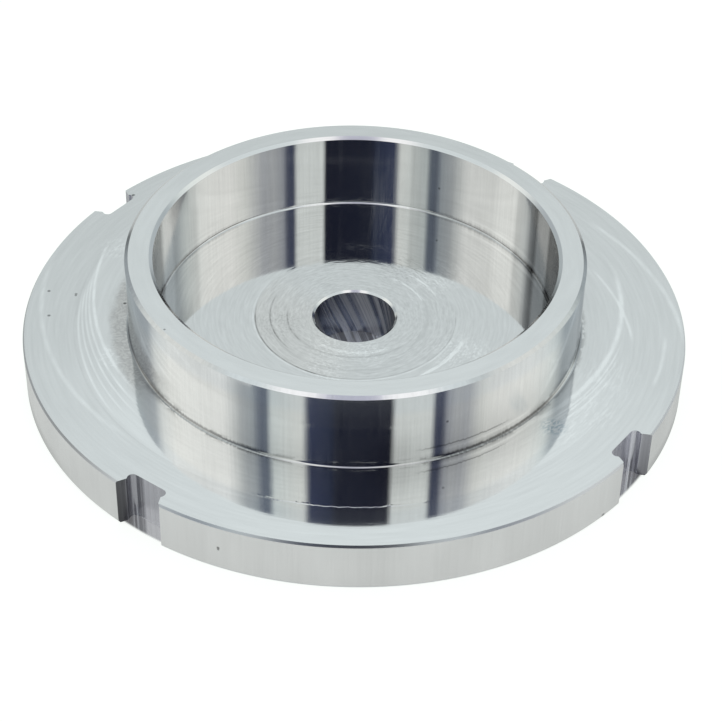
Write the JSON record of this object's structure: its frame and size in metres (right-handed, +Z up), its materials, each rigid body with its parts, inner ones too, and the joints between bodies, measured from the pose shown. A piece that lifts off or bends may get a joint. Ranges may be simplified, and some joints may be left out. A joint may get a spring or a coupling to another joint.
{
  "type": "flanged ring",
  "caption": "Turned aluminium flanged ring: a disc flange with rim slots for a wrench, a thin-walled collar round a flat-floored cup, and a central through bore.",
  "frame": {"origin": "on the turning axis at the flat underside of the flange", "axes": "+Z up the turning axis, from the underside towards the collar; +X through the middle of one rim slot"},
  "size_m": [0.0798, 0.0798, 0.0163],
  "materials": {
    "machined_aluminium": "finely turned and bright, with circular tool marks"
  },
  "bodies": {
    "root": {"flanged_ring": "machined_aluminium"}
  },
  "joints": []
}
